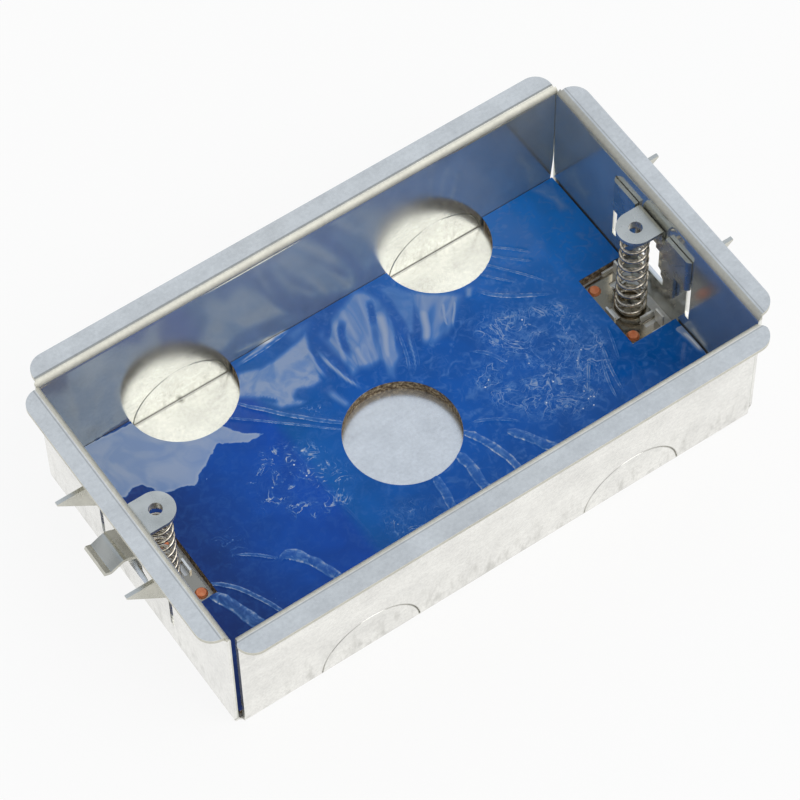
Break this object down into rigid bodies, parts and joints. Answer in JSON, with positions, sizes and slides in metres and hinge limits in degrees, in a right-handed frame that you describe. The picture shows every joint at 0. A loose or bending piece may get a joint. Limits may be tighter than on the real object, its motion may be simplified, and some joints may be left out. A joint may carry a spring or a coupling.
{
  "type": "cavity wall box",
  "caption": "Folded galvanised steel wiring box for a hollow wall, with rim flanges, knock-outs, sprung sliding screw lugs on its end walls and a film-faced fire pad on its base.",
  "frame": {"origin": "middle of the underside of the base", "axes": "+X along the box's length, through the lugs; +Y across it; +Z from the base out to the rim"},
  "size_m": [0.1518, 0.0842, 0.036],
  "materials": {
    "galvanised_sheet": "hot-dip galvanised, satin",
    "intumescent_mat": "matt, cut edges",
    "blue_film": "glossy, wrinkled",
    "bracket_steel": "zinc plated, satin",
    "spring_wire": "bright drawn wire",
    "clip_steel": "bright rolled",
    "rivet_copper": "dull copper"
  },
  "bodies": {
    "box": {"box_shell": "galvanised_sheet", "fire_pad": "intumescent_mat", "pad_film": "blue_film", "base_clip_left": "clip_steel", "base_clip_right": "clip_steel", "clip_rivets_left": "rivet_copper", "clip_rivets_right": "rivet_copper", "lug_spring_left": "spring_wire", "lug_spring_right": "spring_wire"},
    "bracket_left": {"lug_bracket_left": "bracket_steel"},
    "bracket_right": {"lug_bracket_right": "bracket_steel"}
  },
  "joints": [
    {"name": "lug_left", "type": "slide", "parent": "box", "child": "bracket_left", "axis": [0, 0, 1], "range_m": [-0.0093, 0], "stiffness_N_per_m": 600, "springref_m": 0.004, "deforming": ["lug_spring_left"]},
    {"name": "lug_right", "type": "slide", "parent": "box", "child": "bracket_right", "axis": [0, 0, 1], "range_m": [-0.0093, 0], "stiffness_N_per_m": 600, "springref_m": 0.004, "deforming": ["lug_spring_right"]}
  ]
}
